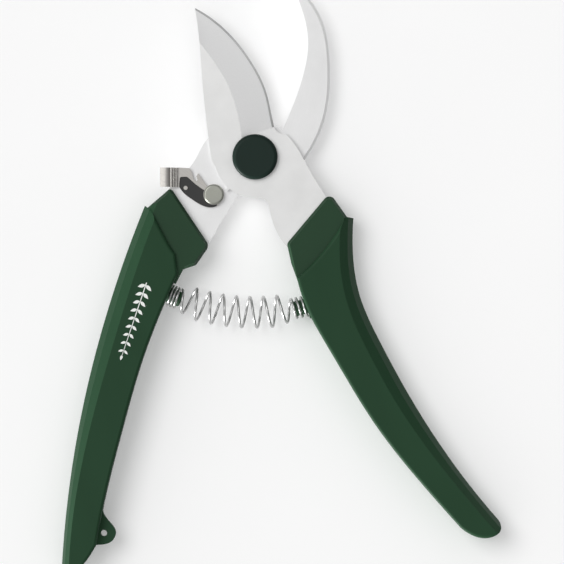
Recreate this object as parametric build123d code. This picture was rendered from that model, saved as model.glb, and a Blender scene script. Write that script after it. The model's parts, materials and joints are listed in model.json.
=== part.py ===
from build123d import *
import math
import os

# Bypass pruning shears, shown open as the return spring holds them.
# Frame: origin on the pivot axis at the lowest face, +Z along the pivot towards the
# cutting blade's side, +Y towards the blade tips, +X towards the cutting blade's handle.
# The hook lever (hook, left arm and left grip) lies in the lower layer and the blade
# lever (cutting blade, right arm and right grip) in the upper layer.  Millimetres.

# ---- layers along the pivot --------------------------------------------------------
GRIP_THICKNESS = 15.0
COLLAR_LOW = 2.0
COLLAR_HIGH = 13.0
CORE_LOW = 2.6
CORE_HIGH = 12.4
SHEAR_PLANE = 7.5
SHEAR_GAP = 0.05
SAME_LEVEL = 0.01
HOOK_THICKNESS = 4.0
HOOK_LOW = SHEAR_PLANE - HOOK_THICKNESS
HOOK_HIGH = SHEAR_PLANE - SHEAR_GAP
BLADE_THICKNESS = 3.0
BLADE_HIGH = SHEAR_PLANE + BLADE_THICKNESS

# ---- levers -------------------------------------------------------------------------
HEEL_RADIUS = 13.0
HUB_RADIUS = 12.4
HONE_LAND = 0.1
HONE_WIDTH = 0.5
EDGE_LAND = HONE_LAND + HONE_WIDTH
HOOK_BACK = (23.9, 30.0)
HOOK_BACK_BEVEL = 0.8
GRIND_LEAD = 5.0
HONE_LEAD = 2.0
TANG_WIDTH = 7.0
CORE_WIDTH = 9.0
ANCHOR_HOLE_RADIUS = 1.6
ANCHOR_SHARES = (0.36, 0.54)
TANG_SHARE = 0.62
TONGUE_SHARE = 0.92
TOOTH_HEIGHT = 1.1
TOOTH_ROOT_DEPTH = 1.0
TOOTH_ROOT_ANGLES = (226.3, 233.0)
TOOTH_TIP_ANGLES = (228.2, 231.0)

# ---- pivot --------------------------------------------------------------------------
BOLT_RADIUS = 4.0
RUNNING_CLEARANCE = 0.05
BOLT_HEAD_RADIUS = 5.6
BOLT_HEAD_HEIGHT = 1.9
HEX_SOCKET_RADIUS = 2.6
HEX_SOCKET_DEPTH = 1.2
WASHER_RADIUS = 6.2
WASHER_THICKNESS = 0.5
CAP_RADIUS = 7.25
CAP_TOP = 14.0
CAP_SKIN = 1.0
CAP_EDGE = 1.2
NUT_ACROSS_FLATS = 12.0
NUT_HEIGHT = 2.9
NUT_CORNER_CHAMFER = 0.5
LOCK_WASHER_RADIUS = 5.8
LOCK_WASHER_SPLIT = 0.7
LOCK_WASHER_TURN = 20

# ---- safety catch -------------------------------------------------------------------
CATCH_PIVOT = (-13.2, -12.0)
CATCH_LOW = 7.8
CATCH_THICKNESS = 1.5
CATCH_EYE_RADIUS = 3.3
CATCH_RIVET_RADIUS = 1.7
CATCH_RIVET_HEAD_RADIUS = 3.2
CATCH_RIVET_HEAD_HEIGHT = 1.3
CATCH_RIVET_HEAD_ROUND = 0.6
CATCH_RIVET_TAIL_HEIGHT = 0.9
CATCH_WASHER_RADIUS = 2.9
CHANNEL_DEPTH = 0.7
CATCH_STUD = (-22.2, -9.9)
CATCH_STUD_RADIUS = 0.65
TAB_FOOT = -24.2
TAB_TIP = -30.3
TAB_UPPER_SIDE = -3.4
TAB_WIDTH = 6.2
TAB_TOP = 12.3
TAB_RAMP = 3.6
TAB_RIBS = 3
TAB_RIB_RADIUS = 0.45
TAB_FIRST_RIB = 0.14
TAB_RIB_STEP = 0.17

# ---- return spring ------------------------------------------------------------------
SPRING_HEIGHT = GRIP_THICKNESS / 2
SPRING_PATH = ThreePointArc((-28.1, -43.8), (-5.6, -49.5), (17.05, -47.5))
WIRE_DIAMETER = 0.8
SPRING_RADIUS = 4.9
SPRING_END_RADIUS = 3.15
HALF_TURNS = 27
LEFT_END_HALF_TURNS = 6
LEFT_END_STEP = 0.52
RIGHT_END_HALF_TURNS = 5
RIGHT_END_STEP = 0.82
GROWING_HALF_TURNS = 2
WIRE_STAND = 0.5
BOSS_RADIUS = 2.4
BOSS_LENGTH = 5.0
BOSS_TIP_CHAMFER = 0.5
SEAT_RADIUS = 4.2
SEAT_STAND = 0.5
BOSS_ROOT = 6.0

# ---- grips --------------------------------------------------------------------------
GRIP_EDGE_ROUND = 0.9
LEFT_TIP_ROUND = 1.0
RIGHT_TIP_ROUND = 2.0
COLLAR_FRONT_BEVEL = 1.4
COLLAR_FRONT_DROP = 0.84
LEFT_COLLAR_FRONT = (-20.8, -19.2)
RIGHT_COLLAR_FRONT = (17.1, -19.4)
BAND_DEPTH = 5.4
SHOULDER_DEPTH = 2.2
SHOULDER_SHARE = 0.4
COLLAR_BAND_SINK = 1.0
BAND_LEAD = 12.0
LANYARD_HOLE = (-48.3, -120.3)
LANYARD_HOLE_RADIUS = 1.0
LANYARD_EAR_LOW = 5.0
LANYARD_EAR_HIGH = 10.0


def polar(radius, angle):
    """A point of the ground plane at a radius and an angle in degrees about the pivot."""
    turn = math.radians(angle)
    return (radius * math.cos(turn), radius * math.sin(turn))


def slab(face, low, high):
    """A flat outline drawn out from one height to another."""
    return extrude(Pos(0, 0, low) * face, amount=high - low, dir=(0, 0, 1))


def edge_near(block, point, height):
    """The edge of a slab that runs at a height, nearest to a point of its outline."""
    level = block.edges().filter_by_position(Axis.Z, height - SAME_LEVEL, height + SAME_LEVEL)
    return level.sort_by_distance((*point, height))[0]


def disc(centre, radius, low, high):
    """An upright round bar between two heights."""
    bar = Cylinder(radius, high - low, align=(Align.CENTER, Align.CENTER, Align.MIN))
    return Pos(centre[0], centre[1], low) * bar


def wedge_section(edge_point, crease_point, edge_height, crease_height, overrun):
    """One triangle of a bevel cutter, above the slope from an edge point to a crease point."""
    low = Vector(edge_point.X, edge_point.Y, edge_height)
    high = Vector(crease_point.X, crease_point.Y, crease_height)
    below = low - (high - low) * overrun
    above = high + (high - low) * overrun
    corner = Vector(below.X, below.Y, above.Z)
    return make_face(Polyline(below, above, corner, close=True))


def bevel_cutter(edge, crease, edge_height, crease_height, lead_in, lead_out, stations=9, overrun=0.35):
    """The wedge that grinds a sloping face between an outer edge and an inner crease.

    It runs straight on past the two ends of the curves by lead_in and lead_out.
    """
    pairs = []
    for step in range(stations):
        share = step / (stations - 1)
        pairs.append((edge @ share, crease @ share))
    if lead_in:
        back = (edge % 0) * -lead_in
        pairs.insert(0, (edge @ 0 + back, crease @ 0 + back))
    if lead_out:
        onward = (edge % 1) * lead_out
        pairs.append((edge @ 1 + onward, crease @ 1 + onward))
    sections = []
    for outer, inner in pairs:
        sections.append(wedge_section(outer, inner, edge_height, crease_height, overrun))
    return loft(sections)


# ---- outlines -----------------------------------------------------------------------

CUTTING_EDGE = Spline((-19.2, 47.7), (-11.2, 42.3), (-1.6, 31.1), (3.5, 21.0), (5.4, 12.9), (6.1, 9.6))
GRIND_LINE = Spline((-19.6, 38.8), (-12.3, 29.3), (-8.2, 22.0), (-5.6, 14.0), (-4.2, 6.0))

LEFT_OUTER = Spline(
    (-35.2, -15.6), (-41.0, -30.7), (-48.3, -53.1), (-54.5, -77.4), (-59.1, -103.4), (-61.7, -130.0)
)
LEFT_CREASE = Spline(
    (-30.9, -17.2), (-36.5, -32.0), (-43.6, -54.2), (-50.6, -78.6), (-56.4, -104.0), (-59.4, -130.2)
)
LEFT_INNER = Spline(
    (-24.7, -37.4), (-27.8, -44.2), (-36.6, -67.0), (-42.4, -87.4), (-46.7, -104.0), (-50.7, -124.0)
)
RIGHT_OUTER = Spline(
    (31.5, -19.6), (31.3, -30.2), (33.5, -44.3), (39.7, -58.6), (50.6, -78.5), (63.7, -98.4), (77.9, -116.1)
)
RIGHT_CREASE = Spline(
    (27.4, -20.4), (27.0, -31.0), (29.2, -45.8), (35.2, -60.4), (46.4, -80.6), (60.9, -100.7), (75.8, -118.4)
)
RIGHT_INNER = Spline(
    (13.4, -38.6), (17.2, -49.8), (24.0, -62.0), (38.3, -85.4), (54.6, -106.0), (65.6, -118.4)
)
LEFT_MIDDLE = Spline(
    (-25.0, -25.0), (-30.4, -33.0), (-36.7, -45.0), (-44.0, -66.0), (-49.4, -88.0), (-52.6, -103.0)
)
RIGHT_MIDDLE = Spline(
    (19.6, -26.0), (22.0, -35.0), (25.3, -47.0), (32.5, -60.5), (44.8, -82.0), (54.5, -96.0)
)


def between(first, second, weight, stations=9):
    """The curve that runs at one weight of the way from a first curve to a second."""
    points = []
    for step in range(stations):
        share = step / (stations - 1)
        points.append(first @ share * (1 - weight) + second @ share * weight)
    return Spline(*points)


def band_cutters(outer, crease, sink=0.0):
    """Wedges for the two slopes of a grip's outer corner, above and below, sunk into it."""
    top = GRIP_THICKNESS - sink
    shoulder = between(outer, crease, SHOULDER_SHARE)
    upper = (
        bevel_cutter(shoulder, crease, top - SHOULDER_DEPTH, top, BAND_LEAD, BAND_LEAD, overrun=1.0),
        bevel_cutter(outer, shoulder, top - BAND_DEPTH, top - SHOULDER_DEPTH, BAND_LEAD, BAND_LEAD),
    )
    middle = Plane.XY.offset(GRIP_THICKNESS / 2)
    return [*upper, *(mirror(wedge, middle) for wedge in upper)]


def inside_edge(edge, distance, stations=9):
    """The curve that runs beside an edge, to the right of its direction."""
    points = []
    for step in range(stations):
        share = step / (stations - 1)
        along = edge % share
        points.append(edge @ share + Vector(along.Y, -along.X) * distance)
    return Spline(*points)


def band_along(middle, share, width):
    """A strip of constant width about the first share of a grip's middle line."""
    steps = 6
    points = []
    for step in range(steps + 1):
        points.append(middle @ (share * step / steps))
    strip = trace(Spline(*points), line_width=width)
    tip = Pos(points[-1].X, points[-1].Y) * Circle(width / 2)
    return strip + tip


# ---- blade lever --------------------------------------------------------------------


def blade_outline():
    """Blade, hub and right arm as one flat blank."""
    heel_start = polar(HEEL_RADIUS, 194.0)
    heel_middle = polar(HEEL_RADIUS, 235.0)
    heel_end = polar(HEEL_RADIUS, 275.0)
    spine = Spline((-13.9, -1.2), (-15.2, 8.6), (-16.9, 25.0), (-17.8, 37.0), (-19.2, 47.7))
    shoulder = Spline(CUTTING_EDGE @ 1, (7.4, 7.9), (9.8, 7.3))
    right_edge = Spline((9.8, 7.3), (12.9, 3.8), (17.4, -4.2), (22.6, -12.6), (25.0, -17.0))
    left_edge = Spline((4.4, -15.6), (5.9, -21.5), (9.6, -28.0), (13.5, -31.0))
    flare = TangentArc(heel_end, (4.4, -15.6), tangent=(1, 0.087))
    return make_face(
        CUTTING_EDGE
        + shoulder
        + right_edge
        + Line((25.0, -17.0), (13.5, -31.0))
        + left_edge
        + flare
        + ThreePointArc(heel_start, heel_middle, heel_end)
        + Line(heel_start, (-13.9, -1.2))
        + spine
    )


def catch_tooth():
    """The tooth on the heel that the catch stands behind when the shears are shut."""
    root = HEEL_RADIUS - TOOTH_ROOT_DEPTH
    tip = HEEL_RADIUS + TOOTH_HEIGHT
    corners = (
        polar(root, TOOTH_ROOT_ANGLES[0]),
        polar(tip, TOOTH_TIP_ANGLES[0]),
        polar(tip, TOOTH_TIP_ANGLES[1]),
        polar(root, TOOTH_ROOT_ANGLES[1]),
    )
    return make_face(Polyline(*corners, close=True))


def anchor_holes(middle):
    """Holes through a tang, which the grip's core flows into."""
    holes = []
    for share in ANCHOR_SHARES:
        place = middle @ share
        holes.append(disc((place.X, place.Y), ANCHOR_HOLE_RADIUS, 0, GRIP_THICKNESS))
    return holes


def make_cutting_blade():
    """Cutting blade with its arm, tang, pivot bore, wide ground face and narrow honed edge."""
    blank = blade_outline() + catch_tooth()
    tang = band_along(RIGHT_MIDDLE, TANG_SHARE, TANG_WIDTH)
    lever = slab(blank + tang, SHEAR_PLANE, BLADE_HIGH)
    lever -= bevel_cutter(CUTTING_EDGE, GRIND_LINE, SHEAR_PLANE + EDGE_LAND, BLADE_HIGH, GRIND_LEAD, 0)
    hone_low = SHEAR_PLANE + HONE_LAND
    hone_line = inside_edge(CUTTING_EDGE, HONE_WIDTH)
    lever -= bevel_cutter(CUTTING_EDGE, hone_line, hone_low, hone_low + HONE_WIDTH, HONE_LEAD, 0)
    lever -= disc((0, 0), BOLT_RADIUS + RUNNING_CLEARANCE, 0, GRIP_THICKNESS)
    return lever - anchor_holes(RIGHT_MIDDLE)


# ---- hook lever ---------------------------------------------------------------------


def hook_outline():
    """Hooked counter-blade that curls over towards the cutting blade's tip."""
    inner = Spline(
        (8.8, 8.6), (13.1, 18.9), (16.2, 29.4), (17.0, 36.0), (15.4, 46.0), (11.6, 55.4)
    )
    outer = Spline(
        (11.6, 55.4), (17.0, 51.0), (21.8, 42.8), (23.9, 30.0), (22.4, 12.5), (16.3, -0.3), (10.0, -7.0)
    )
    return make_face(inner + outer + Line((10.0, -7.0), (8.8, 8.6)))


def left_arm_outline():
    """Left arm from the hub to the shoulder inside the left collar."""
    left_edge = Spline((-9.0, 8.5), (-15.4, 5.6), (-19.6, -1.6), (-27.0, -9.6), (-31.0, -14.5))
    right_edge = Spline((-19.5, -33.0), (-15.2, -28.2), (-10.9, -20.8), (-6.2, -13.4), (-4.0, -9.0))
    shoulder = Line((-31.0, -14.5), (-19.5, -33.0))
    chord = Line((-4.0, -9.0), (-9.0, 8.5))
    return make_face(left_edge + shoulder + right_edge + chord)


def make_hook_blade():
    """Hook, hub, left arm and tang, with the pivot bore and the catch's rivet hole."""
    blank = hook_outline() + Circle(HUB_RADIUS) + left_arm_outline()
    blank += band_along(LEFT_MIDDLE, TANG_SHARE, TANG_WIDTH)
    lever = slab(blank, HOOK_LOW, HOOK_HIGH)
    lever = chamfer(edge_near(lever, HOOK_BACK, HOOK_HIGH), HOOK_BACK_BEVEL)
    lever -= disc((0, 0), BOLT_RADIUS, 0, GRIP_THICKNESS)
    lever -= disc(CATCH_PIVOT, CATCH_RIVET_RADIUS, 0, GRIP_THICKNESS)
    return lever - anchor_holes(LEFT_MIDDLE)


# ---- pivot --------------------------------------------------------------------------


def make_pivot_bolt():
    """Shouldered bolt from the nut's lower face to the head under the cap."""
    head_low = BLADE_HIGH + SHEAR_GAP + WASHER_THICKNESS
    head = disc((0, 0), BOLT_HEAD_RADIUS, head_low, head_low + BOLT_HEAD_HEIGHT)
    socket = extrude(
        Pos(0, 0, head_low + BOLT_HEAD_HEIGHT - HEX_SOCKET_DEPTH) * RegularPolygon(HEX_SOCKET_RADIUS, 6),
        amount=HEX_SOCKET_DEPTH,
    )
    return disc((0, 0), BOLT_RADIUS, 0, head_low) + head - socket


def make_pivot_washer():
    """Flat washer between the bolt's head and the cutting blade."""
    low = BLADE_HIGH + SHEAR_GAP
    high = low + WASHER_THICKNESS
    return disc((0, 0), WASHER_RADIUS, low, high) - disc((0, 0), BOLT_RADIUS, low, high)


def make_pivot_cap():
    """Round cover pressed over the bolt's head."""
    low = BLADE_HIGH + SHEAR_GAP + WASHER_THICKNESS
    body = disc((0, 0), CAP_RADIUS, low, CAP_TOP)
    body = fillet(body.edges().group_by(Axis.Z)[-1], CAP_EDGE)
    return body - disc((0, 0), BOLT_HEAD_RADIUS, low, CAP_TOP - CAP_SKIN)


def make_pivot_nut():
    """Thin hexagon nut under the hook lever."""
    corner_radius = NUT_ACROSS_FLATS / 2 / math.cos(math.pi / 6)
    blank = extrude(RegularPolygon(corner_radius, 6), amount=NUT_HEIGHT)
    rounding = disc((0, 0), corner_radius - NUT_CORNER_CHAMFER / 2, 0, NUT_HEIGHT)
    rounding = chamfer(rounding.edges().group_by(Axis.Z)[0], NUT_CORNER_CHAMFER)
    return (blank & rounding) - disc((0, 0), BOLT_RADIUS, 0, NUT_HEIGHT)


def make_lock_washer():
    """Split spring washer between the nut and the hook lever."""
    ring = disc((0, 0), LOCK_WASHER_RADIUS, NUT_HEIGHT, HOOK_LOW)
    ring -= disc((0, 0), BOLT_RADIUS, NUT_HEIGHT, HOOK_LOW)
    split = Box(LOCK_WASHER_RADIUS, LOCK_WASHER_SPLIT, HOOK_LOW)
    return ring - Rotation(0, 0, LOCK_WASHER_TURN) * Pos(LOCK_WASHER_RADIUS, 0, NUT_HEIGHT) * split


# ---- safety catch -------------------------------------------------------------------


def catch_outline():
    """Eye, bar and claw of the catch in its released place, with the slot for the tooth."""
    tab_lower_side = TAB_UPPER_SIDE - TAB_WIDTH
    claw = Spline((-15.2, -9.5), (-16.3, -7.9), (-18.2, -5.2))
    slot = Polyline((-18.2, -5.2), (-18.7, -6.2), (-18.3, -7.4), (-18.9, -7.8), (-19.6, -7.0), (-20.4, -4.3))
    back = Polyline((-20.4, -4.3), (-21.1, -3.6), (TAB_FOOT, TAB_UPPER_SIDE))
    lower = Spline(
        (TAB_FOOT, tab_lower_side), (-22.7, -11.6), (-19.8, -13.8), (-16.4, -15.7), (-13.6, -16.1),
        (-10.9, -14.3),
    )
    fold = Line((TAB_FOOT, TAB_UPPER_SIDE), (TAB_FOOT, tab_lower_side))
    bar = make_face(claw + slot + back + fold + lower + Line((-10.9, -14.3), (-15.2, -9.5)))
    return bar + Pos(*CATCH_PIVOT) * Circle(CATCH_EYE_RADIUS)


def catch_channel():
    """Pressed channel of the catch, open along its lower side, with a stud left standing in it."""
    corners = (
        (-24.0, -6.4), (-21.7, -6.3), (-18.9, -8.8), (-16.8, -10.3), (-13.2, -12.0),
        (-11.6, -17.0), (-16.0, -18.0), (-25.0, -12.0), (-24.3, -9.6),
    )
    floor = rounded(corners, {0: 0.6, 1: 1.2}) - Pos(*CATCH_PIVOT) * Circle(CATCH_EYE_RADIUS)
    floor -= Pos(*CATCH_STUD) * Circle(CATCH_STUD_RADIUS)
    high = CATCH_LOW + CATCH_THICKNESS
    return slab(floor, high - CHANNEL_DEPTH, high)


def thumb_tab():
    """Bent-up thumb plate with cross ribs, seen in side view and drawn across the catch."""
    low = CATCH_LOW
    high = CATCH_LOW + CATCH_THICKNESS
    ends = [(-1, 0), (-1, -0.1)]
    ramp_end = TAB_FOOT - TAB_RAMP
    under = Spline(
        (TAB_FOOT, low), (ramp_end + 1.3, low + 1.3), (ramp_end - 0.3, TAB_TOP - CATCH_THICKNESS),
        (TAB_TIP, TAB_TOP - CATCH_THICKNESS), tangents=ends,
    )
    over = Spline(
        (TAB_FOOT, high), (ramp_end + 1.7, high + 1.4), (ramp_end, TAB_TOP), (TAB_TIP, TAB_TOP - 0.1),
        tangents=ends,
    )
    side = make_face(under + Line(under @ 1, over @ 1) + over + Line(over @ 0, under @ 0))
    ribs = []
    for rib in range(TAB_RIBS):
        place = over @ (TAB_FIRST_RIB + TAB_RIB_STEP * rib)
        ribs.append(Pos(place.X, place.Y) * Circle(TAB_RIB_RADIUS))
    profile = Plane.XZ * (side + ribs)
    return Pos(0, TAB_UPPER_SIDE, 0) * extrude(profile, amount=TAB_WIDTH, dir=(0, -1, 0))


def make_catch_lever():
    """Sheet-metal catch with its eye round the rivet."""
    lever = slab(catch_outline(), CATCH_LOW, CATCH_LOW + CATCH_THICKNESS) - catch_channel() + thumb_tab()
    return lever - disc(CATCH_PIVOT, CATCH_RIVET_RADIUS + RUNNING_CLEARANCE, 0, GRIP_THICKNESS)


def make_catch_rivet():
    """Rivet that pins the catch to the left arm."""
    head_low = CATCH_LOW + CATCH_THICKNESS + SHEAR_GAP
    head = disc(CATCH_PIVOT, CATCH_RIVET_HEAD_RADIUS, head_low, head_low + CATCH_RIVET_HEAD_HEIGHT)
    head = fillet(head.edges().group_by(Axis.Z)[-1], CATCH_RIVET_HEAD_ROUND)
    tail = disc(CATCH_PIVOT, CATCH_RIVET_HEAD_RADIUS, HOOK_LOW - CATCH_RIVET_TAIL_HEIGHT, HOOK_LOW)
    tail = fillet(tail.edges().group_by(Axis.Z)[0], CATCH_RIVET_HEAD_ROUND)
    return disc(CATCH_PIVOT, CATCH_RIVET_RADIUS, HOOK_LOW, head_low) + head + tail


def make_catch_washer():
    """Thin friction washer under the catch's eye."""
    low = HOOK_HIGH
    high = CATCH_LOW - SHEAR_GAP
    ring = disc(CATCH_PIVOT, CATCH_WASHER_RADIUS, low, high)
    return ring - disc(CATCH_PIVOT, CATCH_RIVET_RADIUS, low, high)


# ---- return spring ------------------------------------------------------------------


def spring_stations():
    """Share of the path and coil radius at each half turn, with closer coils at both ends."""
    stand = SEAT_STAND + WIRE_STAND
    length = SPRING_PATH.length
    open_half_turns = HALF_TURNS - LEFT_END_HALF_TURNS - RIGHT_END_HALF_TURNS
    left_end = LEFT_END_HALF_TURNS * LEFT_END_STEP
    right_end = RIGHT_END_HALF_TURNS * RIGHT_END_STEP
    open_step = (length - 2 * stand - left_end - right_end) / open_half_turns
    steps = [LEFT_END_STEP] * LEFT_END_HALF_TURNS + [open_step] * open_half_turns
    steps += [RIGHT_END_STEP] * RIGHT_END_HALF_TURNS
    stations = []
    for turn in range(HALF_TURNS + 1):
        travel = stand + sum(steps[:turn])
        past_ends = min(turn - LEFT_END_HALF_TURNS, HALF_TURNS - RIGHT_END_HALF_TURNS - turn)
        growth = min(1.0, max(0.0, past_ends / GROWING_HALF_TURNS))
        radius = SPRING_END_RADIUS + growth * (SPRING_RADIUS - SPRING_END_RADIUS)
        stations.append((travel / length, radius))
    return stations


def make_return_spring():
    """Round-wire compression spring bowed away from the pivot, made of half-turn arcs."""
    points = []
    for step, (share, radius) in enumerate(spring_stations()):
        centre = SPRING_PATH @ share
        along = SPRING_PATH % share
        towards_pivot = Vector(-along.Y, along.X, 0) * (-1 if step % 2 else 1)
        points.append(Vector(centre.X, centre.Y, SPRING_HEIGHT) + towards_pivot * radius)
    arcs = []
    for step in range(HALF_TURNS):
        start, end = points[step], points[step + 1]
        rise = (end - start).length / 2 * (-1 if step % 2 else 1)
        arcs.append(ThreePointArc(start, (start + end) * 0.5 + Vector(0, 0, rise), end))
    section = Plane(origin=points[0], z_dir=(0, 0, 1)) * Circle(WIRE_DIAMETER / 2)
    return sweep(section, path=Wire(arcs))


# ---- grips --------------------------------------------------------------------------


def spring_boss(seat, direction):
    """Boss that carries one end coil, standing on the inner side of a grip."""
    root = Plane(origin=seat - direction * BOSS_ROOT, z_dir=direction)
    peg = extrude(root * Circle(BOSS_RADIUS), amount=BOSS_ROOT + BOSS_LENGTH)
    peg = chamfer(peg.faces().sort_by(Axis(seat, direction))[-1].edges(), BOSS_TIP_CHAMFER)
    return peg + extrude(root * Circle(SEAT_RADIUS), amount=BOSS_ROOT + SEAT_STAND)


def make_core(collar, front, band, middle, boss, lever):
    """Hard core of one grip: collar, tongue inside the sleeve and spring boss.

    front is a point on the collar's front edge, which is bevelled above and below, and band
    holds the wedges that continue the sleeve's sloping band across the collar.
    """
    block = slab(collar, COLLAR_LOW, COLLAR_HIGH)
    front_edges = [edge_near(block, front, height) for height in (COLLAR_LOW, COLLAR_HIGH)]
    block = chamfer(front_edges, COLLAR_FRONT_BEVEL, COLLAR_FRONT_DROP) - band
    tongue = slab(band_along(middle, TONGUE_SHARE, CORE_WIDTH), CORE_LOW, CORE_HIGH)
    return block + tongue + boss - lever


def rounded(corners, rounding):
    """A flat polygon with some corners rounded; rounding maps a corner's index to its radius."""
    face = make_face(Polyline(*corners, close=True))
    for index, radius in rounding.items():
        vertex = face.vertices().sort_by_distance(corners[index])[0]
        face = fillet(vertex, radius)
    return face


def left_collar():
    """Flat collar at the mouth of the left grip."""
    corners = (
        (-26.9, -9.9), (-14.6, -28.4), (-18.9, -34.6), (-23.0, -36.0),
        (-25.4, -40.6), (-31.0, -38.0), (-31.0, -24.0), (-34.4, -16.3),
    )
    return rounded(corners, {0: LEFT_TIP_ROUND, 1: 2.4, 2: 1.6})


def right_collar():
    """Flat collar at the mouth of the right grip."""
    corners = (
        (23.9, -11.4), (29.4, -19.2), (26.0, -26.0), (25.0, -44.0),
        (15.4, -44.6), (11.6, -34.0), (10.2, -27.7),
    )
    return rounded(corners, {0: RIGHT_TIP_ROUND, 6: 1.8})


def left_sleeve_outline():
    """Outline of the left grip below the collar."""
    step = Spline(LEFT_OUTER @ 0, (-33.6, -17.0), (-31.7, -20.0), (-28.6, -26.0), (-25.5, -31.0))
    heel = Spline(LEFT_INNER @ 1, (-53.2, -128.2), (-57.0, -131.8), (-60.2, -132.4), LEFT_OUTER @ 1)
    return make_face(step + Line(step @ 1, LEFT_INNER @ 0) + LEFT_INNER + heel + LEFT_OUTER)


def right_sleeve_outline():
    """Outline of the right grip below the collar."""
    tip = Line(RIGHT_OUTER @ 0, (29.2, -19.2))
    step = Spline(tip @ 1, (25.8, -24.8), (20.8, -31.4), RIGHT_INNER @ 0)
    end = Spline(RIGHT_INNER @ 1, (69.4, -120.9), (74.4, -121.8), (78.2, -119.9), RIGHT_OUTER @ 1)
    return make_face(tip + step + RIGHT_INNER + end + RIGHT_OUTER)


def make_sleeve(outline, band, core, lever):
    """Soft sleeve moulded round a core, with wide bands down its outer corner."""
    body = slab(outline, 0, GRIP_THICKNESS)
    rims = body.edges().group_by(Axis.Z)
    body = fillet(rims[0] + rims[-1], GRIP_EDGE_ROUND)
    return body - band - core - lever


def lanyard_ear():
    """Small ear with a hole near the end of the left grip."""
    outline = Spline(
        (-48.6, -113.0), (-46.6, -116.6), (-44.5, -120.1), (-45.5, -122.6), (-49.0, -124.0), (-54.0, -123.6)
    )
    face = make_face(outline + Line(outline @ 1, outline @ 0))
    return slab(face, LANYARD_EAR_LOW, LANYARD_EAR_HIGH)


def write(name, shape):
    """One file for each piece."""
    shape.label = name
    export_step(shape, "parts/" + name + ".step")


def main():
    os.makedirs("parts", exist_ok=True)
    cutting_blade = make_cutting_blade()
    hook_blade = make_hook_blade()
    spring_level = Vector(0, 0, SPRING_HEIGHT)
    left_boss = spring_boss(SPRING_PATH @ 0 + spring_level, SPRING_PATH % 0)
    right_boss = spring_boss(SPRING_PATH @ 1 + spring_level, (SPRING_PATH % 1) * -1)
    left_sunk = band_cutters(LEFT_OUTER, LEFT_CREASE, COLLAR_BAND_SINK)
    right_sunk = band_cutters(RIGHT_OUTER, RIGHT_CREASE, COLLAR_BAND_SINK)
    left_core = make_core(left_collar(), LEFT_COLLAR_FRONT, left_sunk, LEFT_MIDDLE, left_boss, hook_blade)
    right_core = make_core(
        right_collar(), RIGHT_COLLAR_FRONT, right_sunk, RIGHT_MIDDLE, right_boss, cutting_blade
    )
    left_band = band_cutters(LEFT_OUTER, LEFT_CREASE)
    right_band = band_cutters(RIGHT_OUTER, RIGHT_CREASE)
    left_sleeve = make_sleeve(left_sleeve_outline(), left_band, left_core, hook_blade)
    right_sleeve = make_sleeve(right_sleeve_outline(), right_band, right_core, cutting_blade)
    left_sleeve += lanyard_ear() - left_core - hook_blade
    left_sleeve -= disc(LANYARD_HOLE, LANYARD_HOLE_RADIUS, 0, GRIP_THICKNESS)

    write("cutting_blade", cutting_blade)
    write("hook_blade", hook_blade)
    write("left_grip_core", left_core)
    write("right_grip_core", right_core)
    write("left_grip_sleeve", left_sleeve)
    write("right_grip_sleeve", right_sleeve)
    write("pivot_bolt", make_pivot_bolt())
    write("pivot_washer", make_pivot_washer())
    write("pivot_cap", make_pivot_cap())
    write("pivot_nut", make_pivot_nut())
    write("lock_washer", make_lock_washer())
    write("catch_lever", make_catch_lever())
    write("catch_rivet", make_catch_rivet())
    write("catch_washer", make_catch_washer())
    write("return_spring", make_return_spring())


main()
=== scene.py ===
import json
import math

import bpy
from mathutils import Matrix, Vector


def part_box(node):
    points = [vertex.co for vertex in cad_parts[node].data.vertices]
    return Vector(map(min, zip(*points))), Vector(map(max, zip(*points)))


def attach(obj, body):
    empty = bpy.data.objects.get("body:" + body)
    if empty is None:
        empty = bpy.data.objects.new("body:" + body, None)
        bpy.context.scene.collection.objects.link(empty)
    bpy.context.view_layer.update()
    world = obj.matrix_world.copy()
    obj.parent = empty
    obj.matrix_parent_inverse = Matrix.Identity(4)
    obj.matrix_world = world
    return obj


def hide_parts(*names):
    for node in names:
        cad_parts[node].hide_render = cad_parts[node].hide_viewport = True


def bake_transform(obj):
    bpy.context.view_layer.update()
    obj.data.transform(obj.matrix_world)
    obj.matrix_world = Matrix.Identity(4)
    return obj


# Bypass pruning shears on a pale surface, seen from straight above.  Metres, in the frame of the
# CAD model: origin on the pivot axis, +Z towards the viewer, +Y towards the blade tips.

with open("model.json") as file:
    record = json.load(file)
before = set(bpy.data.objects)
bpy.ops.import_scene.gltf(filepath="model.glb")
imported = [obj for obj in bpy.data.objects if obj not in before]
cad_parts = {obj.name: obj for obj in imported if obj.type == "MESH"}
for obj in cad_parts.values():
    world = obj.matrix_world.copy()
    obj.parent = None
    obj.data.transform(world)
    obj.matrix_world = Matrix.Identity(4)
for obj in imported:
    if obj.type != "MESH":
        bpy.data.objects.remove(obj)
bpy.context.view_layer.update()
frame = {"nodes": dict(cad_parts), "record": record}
nodes = frame["nodes"]

MM = 0.001

# ---- places taken from the model -------------------------------------------------------

grip_low, grip_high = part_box("left_grip_sleeve")
catch_low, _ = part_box("catch_lever")

CATCH_THICKNESS = 1.5 * MM
CHANNEL_DEPTH = 0.7 * MM
CHANNEL_FLOOR = catch_low.z + CATCH_THICKNESS - CHANNEL_DEPTH
GRIP_TOP = grip_high.z
GRIP_MIDDLE = (grip_low.z + grip_high.z) / 2


# ---- materials -------------------------------------------------------------------------

SCRATCH_DEPTH = 0.004 * MM
SCRATCH_STRENGTH = 0.5
BLADE_GRAIN_TURN = math.radians(35.0)
HOOK_GRAIN_TURN = math.radians(75.0)
CATCH_GRAIN_TURN = math.radians(-35.0)

# Heights of the surface's normal, flat and tilted, that tell a slope from the flat beside it; the
# steels below use them to paint those slopes lighter or darker as painted light and shade.
GROUND_SLOPE = (0.995, 0.985)
HONED_SLOPE = (0.93, 0.86)
BEVEL_SLOPE = (0.95, 0.85)


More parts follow.
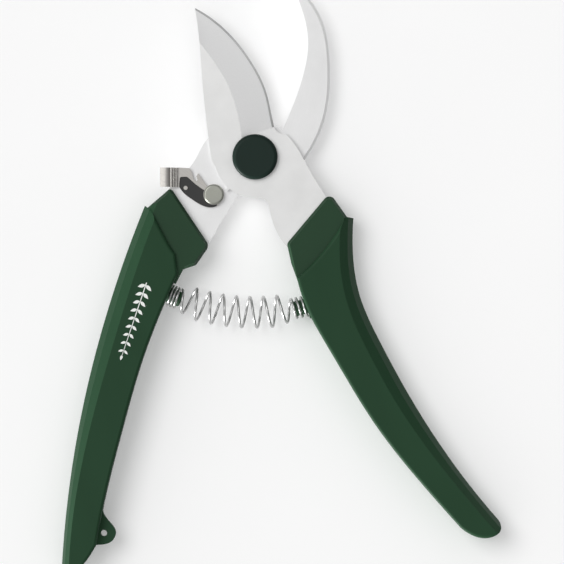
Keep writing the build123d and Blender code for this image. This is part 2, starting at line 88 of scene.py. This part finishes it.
def start_material(name, colour, metallic, roughness, specular=0.5):
    """A Principled material with its even values on the shader's own sockets."""
    material = bpy.data.materials.new(name)
    material.use_nodes = True
    tree = material.node_tree
    shader = tree.nodes["Principled BSDF"]
    shader.inputs["Base Color"].default_value = (*colour, 1.0)
    shader.inputs["Metallic"].default_value = metallic
    shader.inputs["Roughness"].default_value = roughness
    shader.inputs["Specular IOR Level"].default_value = specular
    return material, tree, shader


def noise(tree, size, stretch=(1.0, 1.0, 1.0), turn=0.0, detail=2.0):
    """Noise from 0 to 1 whose grains measure about size, drawn out along the turned axes."""
    place = tree.nodes.new("ShaderNodeTexCoord")
    mapping = tree.nodes.new("ShaderNodeMapping")
    mapping.vector_type = "TEXTURE"
    mapping.inputs["Rotation"].default_value = (0.0, 0.0, turn)
    mapping.inputs["Scale"].default_value = [size * s for s in stretch]
    texture = tree.nodes.new("ShaderNodeTexNoise")
    texture.inputs["Scale"].default_value = 1.0
    texture.inputs["Detail"].default_value = detail
    tree.links.new(place.outputs["Object"], mapping.inputs["Vector"])
    tree.links.new(mapping.outputs["Vector"], texture.inputs["Vector"])
    return texture.outputs["Fac"]


def spread(tree, value, low, high, from_low=0.3, from_high=0.7):
    """The value, stretched from its usual band onto low to high."""
    remap = tree.nodes.new("ShaderNodeMapRange")
    remap.inputs["From Min"].default_value = from_low
    remap.inputs["From Max"].default_value = from_high
    remap.inputs["To Min"].default_value = low
    remap.inputs["To Max"].default_value = high
    tree.links.new(value, remap.inputs["Value"])
    return remap.outputs["Result"]


def mix(tree, factor, first, second):
    """A colour between two, each a colour or a node's output."""
    mixer = tree.nodes.new("ShaderNodeMix")
    mixer.data_type = "RGBA"
    for socket, colour in ((mixer.inputs[6], first), (mixer.inputs[7], second)):
        if isinstance(colour, tuple):
            socket.default_value = (*colour, 1.0)
        else:
            tree.links.new(colour, socket)
    tree.links.new(factor, mixer.inputs["Factor"])
    return mixer.outputs[2]


def bump(tree, shader, height, depth, strength=1.0):
    """Relief of the given depth in metres."""
    relief = tree.nodes.new("ShaderNodeBump")
    relief.inputs["Strength"].default_value = strength
    relief.inputs["Distance"].default_value = depth
    tree.links.new(height, relief.inputs["Height"])
    tree.links.new(relief.outputs["Normal"], shader.inputs["Normal"])


def tilt_mask(tree, flat, tilted):
    """0 where the surface's normal has a height of flat or more, 1 where it has tilted or less."""
    place = tree.nodes.new("ShaderNodeTexCoord")
    parts = tree.nodes.new("ShaderNodeSeparateXYZ")
    tree.links.new(place.outputs["Normal"], parts.inputs["Vector"])
    return spread(tree, parts.outputs["Z"], 0.0, 1.0, flat, tilted)


def level_mask(tree, level, reach):
    """1 within a reach of one height of the shears, 0 elsewhere."""
    place = tree.nodes.new("ShaderNodeTexCoord")
    parts = tree.nodes.new("ShaderNodeSeparateXYZ")
    compare = tree.nodes.new("ShaderNodeMath")
    compare.operation = "COMPARE"
    compare.inputs[1].default_value = level
    compare.inputs[2].default_value = reach
    tree.links.new(place.outputs["Object"], parts.inputs["Vector"])
    tree.links.new(parts.outputs["Z"], compare.inputs[0])
    return compare.outputs["Value"]


def steel(name, colour, shade, roughness, turn, grain, length):
    """Ground steel: long fine scratches one way, with a soft cloudiness over them."""
    material, tree, shader = start_material(name, colour, 0.9, roughness)
    scratches = noise(tree, grain, (length / grain, 1.0, 1.0), turn, 3.0)
    clouds = noise(tree, 9.0 * MM, detail=3.0)
    tone = mix(tree, spread(tree, clouds, 0.0, 1.0), colour, shade)
    line = tuple(0.93 * c for c in shade)
    tone = mix(tree, spread(tree, scratches, 0.0, 0.35), tone, line)
    tree.links.new(tone, shader.inputs["Base Color"])
    rough = spread(tree, scratches, roughness - 0.06, roughness + 0.08)
    tree.links.new(rough, shader.inputs["Roughness"])
    bump(tree, shader, scratches, SCRATCH_DEPTH, SCRATCH_STRENGTH)
    return material


def blade_steel():
    """Cutting blade: satin flats, a finer ground face whose colour is painted lighter as painted
    light, and a honed edge painted darker as painted shade.
    """
    colour = (0.73, 0.73, 0.725)
    material, tree, shader = start_material("blade_steel", colour, 0.85, 0.36)
    scratches = noise(tree, 0.10 * MM, (50.0, 1.0, 1.0), BLADE_GRAIN_TURN, 3.0)
    clouds = noise(tree, 8.0 * MM, detail=3.0)
    flat = mix(tree, spread(tree, clouds, 0.0, 1.0), colour, (0.68, 0.68, 0.675))
    # The ground face's near-white colour is painted light: it lifts the face where it tilts away from
    # the key light.
    ground = mix(tree, spread(tree, scratches, 0.0, 1.0), (0.98, 0.98, 0.98), (0.92, 0.92, 0.92))
    slope = tilt_mask(tree, *GROUND_SLOPE)
    tone = mix(tree, slope, flat, ground)
    # The honed edge's darker grey is painted shade, drawn as a dark line along the cutting edge.
    tone = mix(tree, tilt_mask(tree, *HONED_SLOPE), tone, (0.55, 0.55, 0.55))
    tree.links.new(tone, shader.inputs["Base Color"])
    tree.links.new(spread(tree, slope, 0.85, 0.62, 0.0, 1.0), shader.inputs["Metallic"])
    tree.links.new(spread(tree, scratches, 0.30, 0.44), shader.inputs["Roughness"])
    bump(tree, shader, scratches, SCRATCH_DEPTH, SCRATCH_STRENGTH)
    return material


def hook_steel():
    """Counter-blade: satin flats and a softer, less metallic bevel along its back, whose colour is
    painted brighter as a painted highlight.
    """
    colour = (0.77, 0.77, 0.77)
    material, tree, shader = start_material("hook_steel", colour, 0.9, 0.36)
    scratches = noise(tree, 0.12 * MM, (50.0, 1.0, 1.0), HOOK_GRAIN_TURN, 3.0)
    clouds = noise(tree, 9.0 * MM, detail=3.0)
    tone = mix(tree, spread(tree, clouds, 0.0, 1.0), colour, (0.72, 0.72, 0.72))
    tone = mix(tree, spread(tree, scratches, 0.0, 0.35), tone, (0.67, 0.67, 0.67))
    # The bevel's pale colour is a painted highlight.
    bevel = tilt_mask(tree, *BEVEL_SLOPE)
    tone = mix(tree, bevel, tone, (0.92, 0.92, 0.92))
    tree.links.new(tone, shader.inputs["Base Color"])
    tree.links.new(spread(tree, bevel, 0.9, 0.3, 0.0, 1.0), shader.inputs["Metallic"])
    tree.links.new(spread(tree, scratches, 0.30, 0.44), shader.inputs["Roughness"])
    bump(tree, shader, scratches, SCRATCH_DEPTH, SCRATCH_STRENGTH)
    return material


def catch_steel():
    """Pressed catch: brushed plate, painted near black on the floor of its channel."""
    colour = (0.47, 0.455, 0.43)
    material, tree, shader = start_material("catch_steel", colour, 0.85, 0.30)
    scratches = noise(tree, 0.12 * MM, (30.0, 1.0, 1.0), CATCH_GRAIN_TURN, 3.0)
    plate = mix(tree, spread(tree, scratches, 0.0, 1.0), colour, (0.40, 0.385, 0.365))
    floor = level_mask(tree, CHANNEL_FLOOR, 0.05 * MM)
    tone = mix(tree, floor, plate, (0.012, 0.012, 0.012))
    tree.links.new(tone, shader.inputs["Base Color"])
    tree.links.new(spread(tree, floor, 0.86, 0.0, 0.0, 1.0), shader.inputs["Metallic"])
    tree.links.new(spread(tree, scratches, 0.34, 0.46), shader.inputs["Roughness"])
    bump(tree, shader, scratches, SCRATCH_DEPTH, SCRATCH_STRENGTH)
    return material


def moulded(name, colour, shade, roughness, specular, pore=0.22 * MM, depth=0.012 * MM):
    """Moulded plastic or soft rubber: a fine spark-eroded grain and faint flow marks."""
    material, tree, shader = start_material(name, colour, 0.0, roughness, specular)
    grain = noise(tree, pore, detail=3.0)
    flow = noise(tree, 14.0 * MM, (1.0, 2.4, 1.0), math.radians(20.0), 3.0)
    tone = mix(tree, spread(tree, flow, 0.0, 1.0), colour, shade)
    fleck = tuple(1.25 * c for c in colour)
    tone = mix(tree, spread(tree, grain, 0.0, 0.25, 0.45, 0.75), tone, fleck)
    tree.links.new(tone, shader.inputs["Base Color"])
    tree.links.new(spread(tree, grain, roughness - 0.05, roughness + 0.07), shader.inputs["Roughness"])
    bump(tree, shader, grain, depth, 0.6)
    return material


def wire_steel():
    """Drawn spring wire with an uneven grey film."""
    material, tree, shader = start_material("spring_steel", (0.5, 0.5, 0.5), 1.0, 0.32)
    film = noise(tree, 1.6 * MM, detail=3.0)
    tone = mix(tree, spread(tree, film, 0.0, 1.0), (0.56, 0.56, 0.555), (0.42, 0.42, 0.42))
    tree.links.new(tone, shader.inputs["Base Color"])
    tree.links.new(spread(tree, film, 0.26, 0.38), shader.inputs["Roughness"])
    return material


def print_ink():
    """White pad-printed ink, slightly uneven where it lies on the grain."""
    material, tree, shader = start_material("print_ink", (0.86, 0.87, 0.85), 0.0, 0.55, 0.3)
    speckle = noise(tree, 0.35 * MM, detail=3.0)
    patches = spread(tree, speckle, 0.0, 1.0, 0.45, 0.8)
    tone = mix(tree, patches, (0.87, 0.88, 0.86), (0.62, 0.66, 0.62))
    tree.links.new(tone, shader.inputs["Base Color"])
    bump(tree, shader, speckle, 0.01 * MM, 0.4)
    return material


SLEEVE_GREEN = (0.0158, 0.0505, 0.0235)
SLEEVE_SHADE = (0.0140, 0.0450, 0.0207)
# The core's greens are painted a little darker than the sleeve's, as painted shade for its lower
# collars and ear.
CORE_GREEN = (0.0138, 0.0460, 0.0205)
CORE_SHADE = (0.0126, 0.0415, 0.0186)
CAP_GREEN = (0.0103, 0.0220, 0.0172)
CAP_SHADE = (0.0094, 0.0200, 0.0155)
FASTENER_BRIGHT = (0.72, 0.72, 0.71)
FASTENER_SHADE = (0.66, 0.66, 0.65)
RIVET_BRIGHT = (0.36, 0.365, 0.32)
RIVET_SHADE = (0.31, 0.315, 0.28)

finishes = {
    "blade_steel": blade_steel(),
    "hook_steel": hook_steel(),
    "core_plastic": moulded("core_plastic", CORE_GREEN, CORE_SHADE, 0.45, 0.18, 0.3 * MM, 0.006 * MM),
    "sleeve_rubber": moulded("sleeve_rubber", SLEEVE_GREEN, SLEEVE_SHADE, 0.50, 0.12),
    "cap_plastic": moulded("cap_plastic", CAP_GREEN, CAP_SHADE, 0.40, 0.12),
    "fastener_steel": steel(
        "fastener_steel", FASTENER_BRIGHT, FASTENER_SHADE, 0.36, 0.0, 0.2 * MM, 1.5 * MM
    ),
    "catch_steel": catch_steel(),
    "rivet_steel": steel("rivet_steel", RIVET_BRIGHT, RIVET_SHADE, 0.40, 0.0, 0.15 * MM, 1.2 * MM),
    "spring_steel": wire_steel(),
}


def dress(name, material):
    """Gives one CAD node its finish."""
    mesh = nodes[name].data
    mesh.materials.clear()
    mesh.materials.append(material)


for part in frame["record"]["subparts"]:
    dress(part["node"], finishes[part["material_slot"]])


# ---- mesh helpers ----------------------------------------------------------------------


def mesh_object(name, points, faces, material, smooth=True):
    """A new piece from its points and faces."""
    mesh = bpy.data.meshes.new(name)
    mesh.from_pydata([tuple(p) for p in points], [], faces)
    mesh.validate()
    for polygon in mesh.polygons:
        polygon.use_smooth = smooth
    mesh.materials.append(material)
    piece = bpy.data.objects.new(name, mesh)
    bpy.context.scene.collection.objects.link(piece)
    return piece


# ---- return spring ---------------------------------------------------------------------

WIRE_RADIUS = 0.4 * MM
COIL_RADIUS = 4.9 * MM
END_COIL_RADIUS = 3.15 * MM
HALF_TURNS = 27
LEFT_END_HALF_TURNS = 6
LEFT_END_STEP = 0.52 * MM
RIGHT_END_HALF_TURNS = 5
RIGHT_END_STEP = 0.82 * MM
OPEN_HALF_TURNS = HALF_TURNS - LEFT_END_HALF_TURNS - RIGHT_END_HALF_TURNS
GROWING_HALF_TURNS = 2
SEAT_STAND = 1.0 * MM
RINGS_PER_HALF_TURN = 16
NEARBY = 0.01
RING_POINTS = 14

SPRING_LEFT = Vector((-28.1, -43.8, 0.0)) * MM
SPRING_BOW = Vector((-5.6, -49.5, 0.0)) * MM
SPRING_RIGHT = Vector((17.05, -47.5, 0.0)) * MM


def circle_through(first, second, third):
    """Centre and radius of the circle through three points of the ground plane."""
    middle_a = (first + second) / 2
    middle_b = (second + third) / 2
    across_a = Vector((-(second - first).y, (second - first).x, 0.0))
    across_b = Vector((-(third - second).y, (third - second).x, 0.0))
    gap = middle_b - middle_a
    turn = across_a.x * across_b.y - across_a.y * across_b.x
    reach = (gap.x * across_b.y - gap.y * across_b.x) / turn
    centre = middle_a + across_a * reach
    return centre, (first - centre).length


bow_centre, bow_radius = circle_through(SPRING_LEFT, SPRING_BOW, SPRING_RIGHT)


def bow_angle(point):
    """Angle of a point of the spring's bowed axis about the bow's centre."""
    return math.atan2(point.y - bow_centre.y, point.x - bow_centre.x)


BOW_START = bow_angle(SPRING_LEFT)
BOW_SWEEP = bow_angle(SPRING_RIGHT) - BOW_START
BOW_LENGTH = bow_radius * BOW_SWEEP
LEFT_END_LENGTH = LEFT_END_HALF_TURNS * LEFT_END_STEP
RIGHT_END_LENGTH = RIGHT_END_HALF_TURNS * RIGHT_END_STEP
COIL_ROOM = BOW_LENGTH - 2 * SEAT_STAND
OPEN_STEP = (COIL_ROOM - LEFT_END_LENGTH - RIGHT_END_LENGTH) / OPEN_HALF_TURNS

# A closed step is what each half turn may take when the grips are closed.
CLOSING_ANGLE = math.radians(-38.0)
CLOSING_TURN = Matrix.Rotation(CLOSING_ANGLE, 3, "Z")
CLOSED_ROOM = (CLOSING_TURN @ SPRING_RIGHT - SPRING_LEFT).length - 2 * SEAT_STAND
CLOSED_STEP = CLOSED_ROOM / HALF_TURNS


def spring_travel(half_turn):
    """Distance along the bow after a number of half turns, with closer coils at both ends."""
    left = min(half_turn, LEFT_END_HALF_TURNS)
    right = max(0.0, half_turn - (HALF_TURNS - RIGHT_END_HALF_TURNS))
    middle = half_turn - left - right
    return SEAT_STAND + left * LEFT_END_STEP + middle * OPEN_STEP + right * RIGHT_END_STEP


def following(half_turn):
    """Share of the right grip's motion that a turn follows: 0 at the left grip, 1 at the right."""
    closing_in = spring_travel(half_turn) - SEAT_STAND - half_turn * CLOSED_STEP
    return min(1.0, max(0.0, closing_in / (COIL_ROOM - CLOSED_ROOM)))


def spring_axis(half_turn):
    """Centre of the coil and unit step towards the pivot's side."""
    angle = BOW_START + spring_travel(half_turn) / bow_radius
    out = Vector((math.cos(angle), math.sin(angle), 0.0))
    centre = bow_centre + out * bow_radius + Vector((0.0, 0.0, GRIP_MIDDLE))
    return centre, -out


def wire_centre(half_turn):
    """Centre of the wire after a number of half turns."""
    past_ends = min(half_turn - LEFT_END_HALF_TURNS, HALF_TURNS - RIGHT_END_HALF_TURNS - half_turn)
    growth = min(1.0, max(0.0, past_ends / GROWING_HALF_TURNS))
    growth = growth * growth * (3 - 2 * growth)
    radius = END_COIL_RADIUS + growth * (COIL_RADIUS - END_COIL_RADIUS)
    centre, inward = spring_axis(half_turn)
    turn = math.pi * half_turn
    return centre + inward * (radius * math.cos(turn)) + Vector((0.0, 0.0, radius * math.sin(turn)))


def make_spring():
    """The return spring as one round wire.

    The wire is first laid straight, each ring placed along the line at its share of the right grip's
    motion, and its points are then moved onto the coils.
    """
    rings = HALF_TURNS * RINGS_PER_HALF_TURN
    straight = []
    coiled = []
    for ring in range(rings + 1):
        half_turn = ring / RINGS_PER_HALF_TURN
        centre, _ = spring_axis(half_turn)
        middle = wire_centre(half_turn)
        ahead, behind = wire_centre(half_turn + NEARBY), wire_centre(half_turn - NEARBY)
        heading = (ahead - behind).normalized()
        side = (middle - centre).normalized()
        other = heading.cross(side).normalized()
        side = other.cross(heading)
        share = following(half_turn)
        place = 0.5 - math.sin(math.asin(1.0 - 2.0 * share) / 3.0)
        for corner in range(RING_POINTS):
            turn = 2.0 * math.pi * corner / RING_POINTS
            coiled.append(middle + WIRE_RADIUS * (side * math.cos(turn) + other * math.sin(turn)))
            straight.append((place, 0.0, 0.0))
    faces = []
    for ring in range(rings):
        for corner in range(RING_POINTS):
            beside = (corner + 1) % RING_POINTS
            near, far = ring * RING_POINTS, (ring + 1) * RING_POINTS
            faces.append((near + corner, near + beside, far + beside, far + corner))
    faces.append(tuple(reversed(range(RING_POINTS))))
    faces.append(tuple(range(rings * RING_POINTS, (rings + 1) * RING_POINTS)))
    spring = mesh_object("return_spring_wire", straight, faces, finishes["spring_steel"])
    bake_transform(spring)
    spring.data.vertices.foreach_set("co", [c for point in coiled for c in point])
    spring.data.update()
    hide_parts("return_spring")


make_spring()


# ---- printed sprig ---------------------------------------------------------------------

SPRIG_START = Vector((-34.6, -40.2, 0.0)) * MM
SPRIG_END = Vector((-42.5, -63.6, 0.0)) * MM
SPRIG_LEAVES = 9
SPRIG_LIFT = 0.03 * MM
LEAF_LENGTH = 2.5 * MM
LEAF_WIDTH = 1.15 * MM
LEAF_LEAN = 0.62
TIP_LEAF_SIZE = 0.7
STEM_WIDTH = 0.34 * MM


def leaf_outline(root, direction, length, width, steps=10):
    """A pointed oval from its root."""
    side = Vector((-direction.y, direction.x, 0.0))
    points = []
    for step in range(2 * steps):
        share = step / steps if step <= steps else 2.0 - step / steps
        half = width / 2 * math.sin(math.pi * share ** 0.8) * (1 if step <= steps else -1)
        points.append(root + direction * (length * share) + side * half)
    return points


def make_sprig():
    """A plain sprig of leaf pairs, printed on the flat of the left grip."""
    line = SPRIG_END - SPRIG_START
    along = line.normalized()
    across = Vector((-along.y, along.x, 0.0))
    lift = Vector((0.0, 0.0, GRIP_TOP + SPRIG_LIFT))
    points = []
    faces = []

    def add(outline):
        faces.append(tuple(range(len(points), len(points) + len(outline))))
        points.extend(p + lift for p in outline)

    half = STEM_WIDTH / 2
    stem = [
        SPRIG_START - across * half,
        SPRIG_END - across * half / 2,
        SPRIG_END + across * half / 2,
        SPRIG_START + across * half,
    ]
    add(stem)
    for leaf in range(SPRIG_LEAVES):
        share = (leaf + 0.3) / SPRIG_LEAVES
        root = SPRIG_START + line * share
        size = 1.0 - 0.35 * share
        for hand in (-1, 1):
            direction = (along * LEAF_LEAN + across * hand).normalized()
            foot = root + across * hand * half
            add(leaf_outline(foot, direction, LEAF_LENGTH * size, LEAF_WIDTH * size))
    foot = SPRIG_END - along * 0.3 * MM
    add(leaf_outline(foot, along, LEAF_LENGTH * TIP_LEAF_SIZE, LEAF_WIDTH * TIP_LEAF_SIZE))
    sprig = mesh_object("grip_print", points, faces, print_ink(), smooth=False)
    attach(sprig, "hook_lever")


make_sprig()


# ---- setting: camera, surface, light ---------------------------------------------------

PHOTO_WIDTH = 180.5 * MM
PHOTO_CENTRE = Vector((8.64, -40.0, 0.0)) * MM
LENS = 600.0
SENSOR = 36.0
FLOOR_REACH = 4.0
FLOOR_LEVEL = -0.05 * MM
FLOOR_GLOW = 0.10

camera_data = bpy.data.cameras.new("camera")
camera_data.lens = LENS
camera_data.sensor_width = SENSOR
camera = bpy.data.objects.new("camera", camera_data)
bpy.context.scene.collection.objects.link(camera)
camera.location = PHOTO_CENTRE + Vector((0.0, 0.0, GRIP_MIDDLE + PHOTO_WIDTH * LENS / SENSOR))
camera_data.clip_start = 0.1
camera_data.clip_end = 20.0
bpy.context.scene.camera = camera


def make_floor():
    """A wide pale surface just under the shears, a little luminous like a lit photo table."""
    signs = ((-1, -1), (1, -1), (1, 1), (-1, 1))
    corners = [(x * FLOOR_REACH, y * FLOOR_REACH, FLOOR_LEVEL) for x, y in signs]
    pale = (0.86, 0.86, 0.86)
    material, tree, shader = start_material("pale_surface", pale, 0.0, 0.8, 0.1)
    mottle = noise(tree, 60.0 * MM, detail=2.0)
    tree.links.new(mix(tree, mottle, pale, (0.88, 0.88, 0.88)), shader.inputs["Base Color"])
    shader.inputs["Emission Color"].default_value = (1.0, 1.0, 1.0, 1.0)
    shader.inputs["Emission Strength"].default_value = FLOOR_GLOW
    floor = mesh_object("surface", corners, [(0, 1, 2, 3)], material, smooth=False)


def towards(azimuth, elevation):
    """Unit direction from an azimuth, in degrees from +X towards +Y, and an elevation."""
    turn, rise = math.radians(azimuth), math.radians(elevation)
    return Vector((math.cos(turn) * math.cos(rise), math.sin(turn) * math.cos(rise), math.sin(rise)))


def add_sun(name, direction, strength, spread_angle, shadow=True):
    """A soft far light from a direction, with or without a shadow."""
    data = bpy.data.lights.new(name, "SUN")
    data.energy = strength
    data.angle = math.radians(spread_angle)
    data.use_shadow = shadow
    sun = bpy.data.objects.new(name, data)
    bpy.context.scene.collection.objects.link(sun)
    sun.rotation_mode = "QUATERNION"
    sun.rotation_quaternion = direction.to_track_quat("Z", "Y")
    sun.location = direction


def make_studio(bright_side, darkest, brightest):
    """White surroundings that fade from a bright side to a dim one."""
    world = bpy.data.worlds.new("studio")
    world.use_nodes = True
    bpy.context.scene.world = world
    tree = world.node_tree
    place = tree.nodes.new("ShaderNodeTexCoord")
    facing = tree.nodes.new("ShaderNodeVectorMath")
    facing.operation = "DOT_PRODUCT"
    facing.inputs[1].default_value = bright_side
    tree.links.new(place.outputs["Generated"], facing.inputs[0])
    strength = spread(tree, facing.outputs["Value"], darkest, brightest, -0.45, 0.7)
    tree.nodes["Background"].inputs["Color"].default_value = (1.0, 1.0, 1.0, 1.0)
    tree.links.new(strength, tree.nodes["Background"].inputs["Strength"])


make_floor()
add_sun("key", towards(150.0, 62.0), 1.0, 34.0)
add_sun("side", towards(224.0, 5.0), 5.5, 14.0, shadow=False)
make_studio(towards(165.0, 60.0), 0.0, 0.64)

bpy.context.scene.view_settings.view_transform = "Standard"
